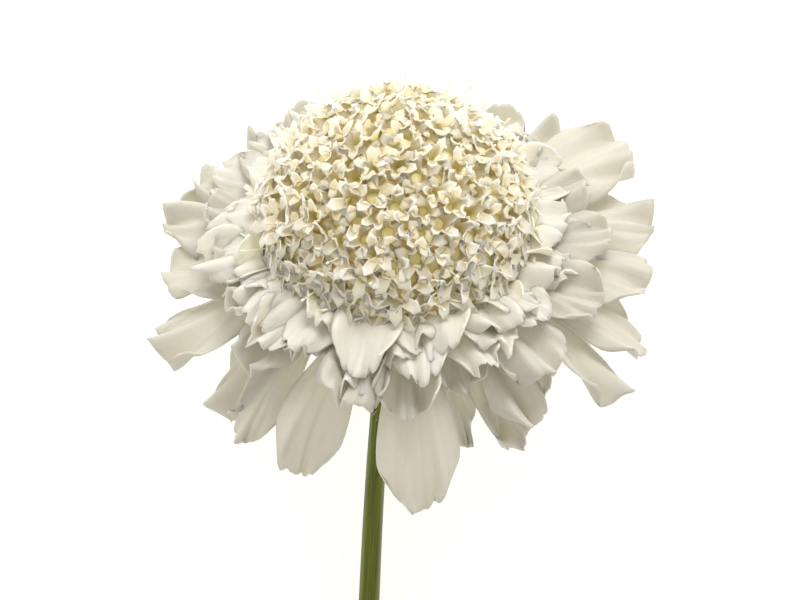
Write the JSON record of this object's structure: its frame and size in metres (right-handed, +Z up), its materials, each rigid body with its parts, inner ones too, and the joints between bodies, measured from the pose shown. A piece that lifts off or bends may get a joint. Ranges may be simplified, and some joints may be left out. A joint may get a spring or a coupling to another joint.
{
  "type": "scabiosa flower",
  "caption": "Cut scabiosa flower lying down: domed head of small cream florets, ruffled ivory petals, green bracts and a bent green stem.",
  "frame": {"origin": "the flat spot where the bloom's lowest petal rests on the surface", "axes": "+Z up from the surface, +Y along the surface from the stem's cut end towards the bloom, +X to the right as the camera sees it"},
  "size_m": [0.0702, 0.1575, 0.0489],
  "materials": {
    "stem": "fresh green flower stalk, faintly ribbed, satin",
    "bract": "leafy green, finely hairy, matt",
    "petal": "thin ivory petal tissue, soft, veined and slightly see-through",
    "floret": "cream floret tissue with olive green throats"
  },
  "bodies": {
    "root": {"stem": "stem", "bracts": "bract", "outer_florets": "petal", "disc_florets": "floret"}
  },
  "joints": []
}
